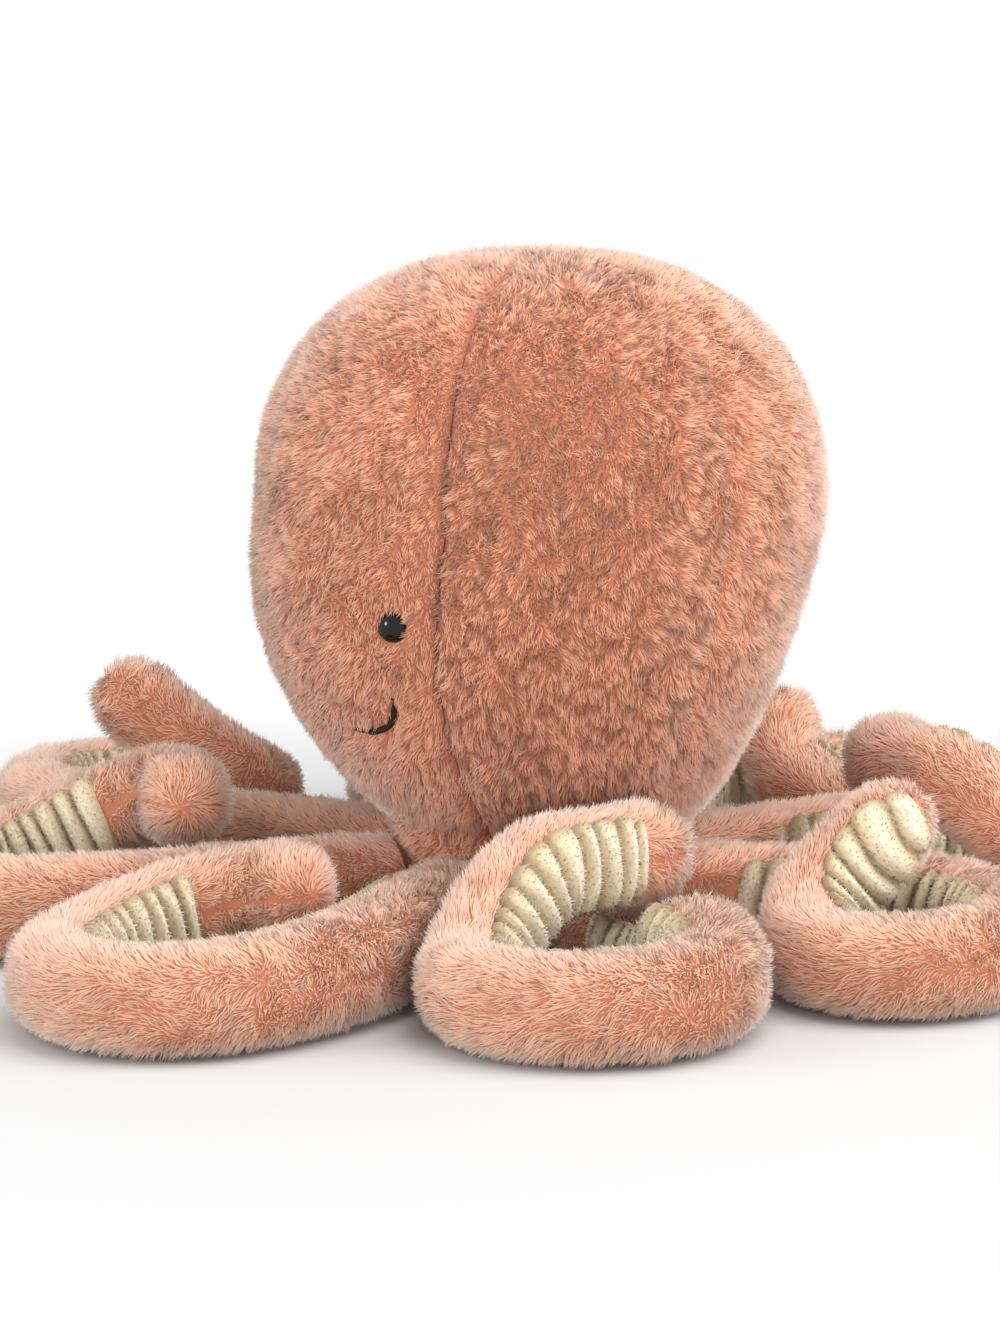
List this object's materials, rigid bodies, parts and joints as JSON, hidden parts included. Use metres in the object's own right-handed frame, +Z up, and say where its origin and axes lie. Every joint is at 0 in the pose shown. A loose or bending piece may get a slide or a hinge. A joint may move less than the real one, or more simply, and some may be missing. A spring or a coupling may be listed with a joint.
{
  "type": "plush octopus",
  "caption": "Soft toy octopus: round fur plush head on a flat base, arms curling into loops with ribbed cord cloth inside each curl; every arm lifts at its root and at its curl.",
  "frame": {"origin": "on the floor under the middle of the head, the middle of the flat base panel", "axes": "+Z up, the face looks to -Y, +X to the toy's left"},
  "size_m": [0.5416, 0.5544, 0.286],
  "materials": {
    "coral_plush_head": "short dense fur plush",
    "coral_plush_base": "short dense fur plush",
    "coral_plush_arms": "short dense fur plush, combed along the arm",
    "cream_cord": "chunky ribbed cord with a soft nap",
    "fibre_filling": "loose polyester fibre",
    "pouch_cloth": "plain woven cloth",
    "smile_thread": "dark brown embroidery thread",
    "white_nylon": "moulded nylon",
    "black_bead": "polished black"
  },
  "bodies": {
    "head": {"base_panel": "coral_plush_base", "eye_left": "black_bead", "eye_right": "black_bead", "eye_washer_left": "white_nylon", "eye_washer_right": "white_nylon", "head_filling": "fibre_filling", "panel_back": "coral_plush_head", "panel_face": "coral_plush_head", "panel_left_front": "coral_plush_head", "panel_left_rear": "coral_plush_head", "panel_right_front": "coral_plush_head", "panel_right_rear": "coral_plush_head", "pellet_pouch": "pouch_cloth", "smile_thread": "smile_thread"},
    "arm_1": {"arm_1_root_plush": "coral_plush_arms", "arm_1_root_cord": "cream_cord"},
    "arm_1_curl": {"arm_1_curl_plush": "coral_plush_arms", "arm_1_curl_cord": "cream_cord"},
    "arm_2": {"arm_2_root_plush": "coral_plush_arms", "arm_2_root_cord": "cream_cord"},
    "arm_2_curl": {"arm_2_curl_plush": "coral_plush_arms", "arm_2_curl_cord": "cream_cord"},
    "arm_3": {"arm_3_root_plush": "coral_plush_arms", "arm_3_root_cord": "cream_cord"},
    "arm_3_curl": {"arm_3_curl_plush": "coral_plush_arms", "arm_3_curl_cord": "cream_cord"},
    "arm_4": {"arm_4_root_plush": "coral_plush_arms", "arm_4_root_cord": "cream_cord"},
    "arm_4_curl": {"arm_4_curl_plush": "coral_plush_arms", "arm_4_curl_cord": "cream_cord"},
    "arm_5": {"arm_5_root_plush": "coral_plush_arms", "arm_5_root_cord": "cream_cord"},
    "arm_5_curl": {"arm_5_curl_plush": "coral_plush_arms", "arm_5_curl_cord": "cream_cord"},
    "arm_6": {"arm_6_root_plush": "coral_plush_arms", "arm_6_root_cord": "cream_cord"},
    "arm_6_curl": {"arm_6_curl_plush": "coral_plush_arms", "arm_6_curl_cord": "cream_cord"},
    "arm_7": {"arm_7_root_plush": "coral_plush_arms", "arm_7_root_cord": "cream_cord"},
    "arm_7_curl": {"arm_7_curl_plush": "coral_plush_arms", "arm_7_curl_cord": "cream_cord"},
    "arm_8": {"arm_8_root_plush": "coral_plush_arms", "arm_8_root_cord": "cream_cord"},
    "arm_8_curl": {"arm_8_curl_plush": "coral_plush_arms", "arm_8_curl_cord": "cream_cord"}
  },
  "joints": [
    {"name": "arm_1_lift", "type": "hinge", "parent": "head", "child": "arm_1", "pos_m": [0.02478, -0.05982, 0.0435], "axis": [-0.9288, -0.3706, 0], "range_deg": [0, 15]},
    {"name": "arm_1_curl_lift", "type": "hinge", "parent": "arm_1", "child": "arm_1_curl", "pos_m": [0.01085, -0.25344, 0.04211], "axis": [0.649, 0.7608, 0], "range_deg": [0, 20]},
    {"name": "arm_2_lift", "type": "hinge", "parent": "head", "child": "arm_2", "pos_m": [0.05999, -0.02485, 0.0435], "axis": [-0.3946, -0.9189, 0], "range_deg": [0, 6]},
    {"name": "arm_2_curl_lift", "type": "hinge", "parent": "arm_2", "child": "arm_2_curl", "pos_m": [0.12342, -0.14285, 0.04195], "axis": [0.6623, 0.7493, 0], "range_deg": [0, 8]},
    {"name": "arm_3_lift", "type": "hinge", "parent": "head", "child": "arm_3", "pos_m": [0.05999, 0.02485, 0.0435], "axis": [0.3652, -0.9309, 0], "range_deg": [0, 15]},
    {"name": "arm_3_curl_lift", "type": "hinge", "parent": "arm_3", "child": "arm_3_curl", "pos_m": [0.19744, -0.00904, 0.04165], "axis": [-0.3068, 0.9518, 0], "range_deg": [0, 9]},
    {"name": "arm_4_lift", "type": "hinge", "parent": "head", "child": "arm_4", "pos_m": [0.02478, 0.05982, 0.0435], "axis": [0.9172, -0.3985, 0], "range_deg": [0, 15]},
    {"name": "arm_4_curl_lift", "type": "hinge", "parent": "arm_4", "child": "arm_4_curl", "pos_m": [0.16745, 0.17899, 0.04211], "axis": [-0.9952, -0.0974, 0], "range_deg": [0, 20]},
    {"name": "arm_5_lift", "type": "hinge", "parent": "head", "child": "arm_5", "pos_m": [-0.02478, 0.05982, 0.0435], "axis": [0.93, 0.3674, 0], "range_deg": [0, 15]},
    {"name": "arm_5_curl_lift", "type": "hinge", "parent": "arm_5", "child": "arm_5_curl", "pos_m": [-0.00207, 0.23387, 0.04195], "axis": [-0.7455, -0.6665, 0], "range_deg": [0, 20]},
    {"name": "arm_6_lift", "type": "hinge", "parent": "head", "child": "arm_6", "pos_m": [-0.05999, 0.02485, 0.0435], "axis": [0.3986, 0.9171, 0], "range_deg": [0, 15]},
    {"name": "arm_6_curl_lift", "type": "hinge", "parent": "arm_6", "child": "arm_6_curl", "pos_m": [-0.17441, 0.16403, 0.04211], "axis": [0.1034, -0.9946, 0], "range_deg": [0, 20]},
    {"name": "arm_7_lift", "type": "hinge", "parent": "head", "child": "arm_7", "pos_m": [-0.05999, -0.02485, 0.0435], "axis": [-0.3727, 0.928, 0], "range_deg": [0, 15]},
    {"name": "arm_7_curl_lift", "type": "hinge", "parent": "arm_7", "child": "arm_7_curl", "pos_m": [-0.26051, -0.00635, 0.04211], "axis": [0.6286, -0.7777, 0], "range_deg": [0, 20]},
    {"name": "arm_8_lift", "type": "hinge", "parent": "head", "child": "arm_8", "pos_m": [-0.02478, -0.05982, 0.0435], "axis": [-0.9174, 0.3979, 0], "range_deg": [0, 15]},
    {"name": "arm_8_curl_lift", "type": "hinge", "parent": "arm_8", "child": "arm_8_curl", "pos_m": [-0.16902, -0.18143, 0.04211], "axis": [0.9956, 0.0932, 0], "range_deg": [0, 20]}
  ]
}
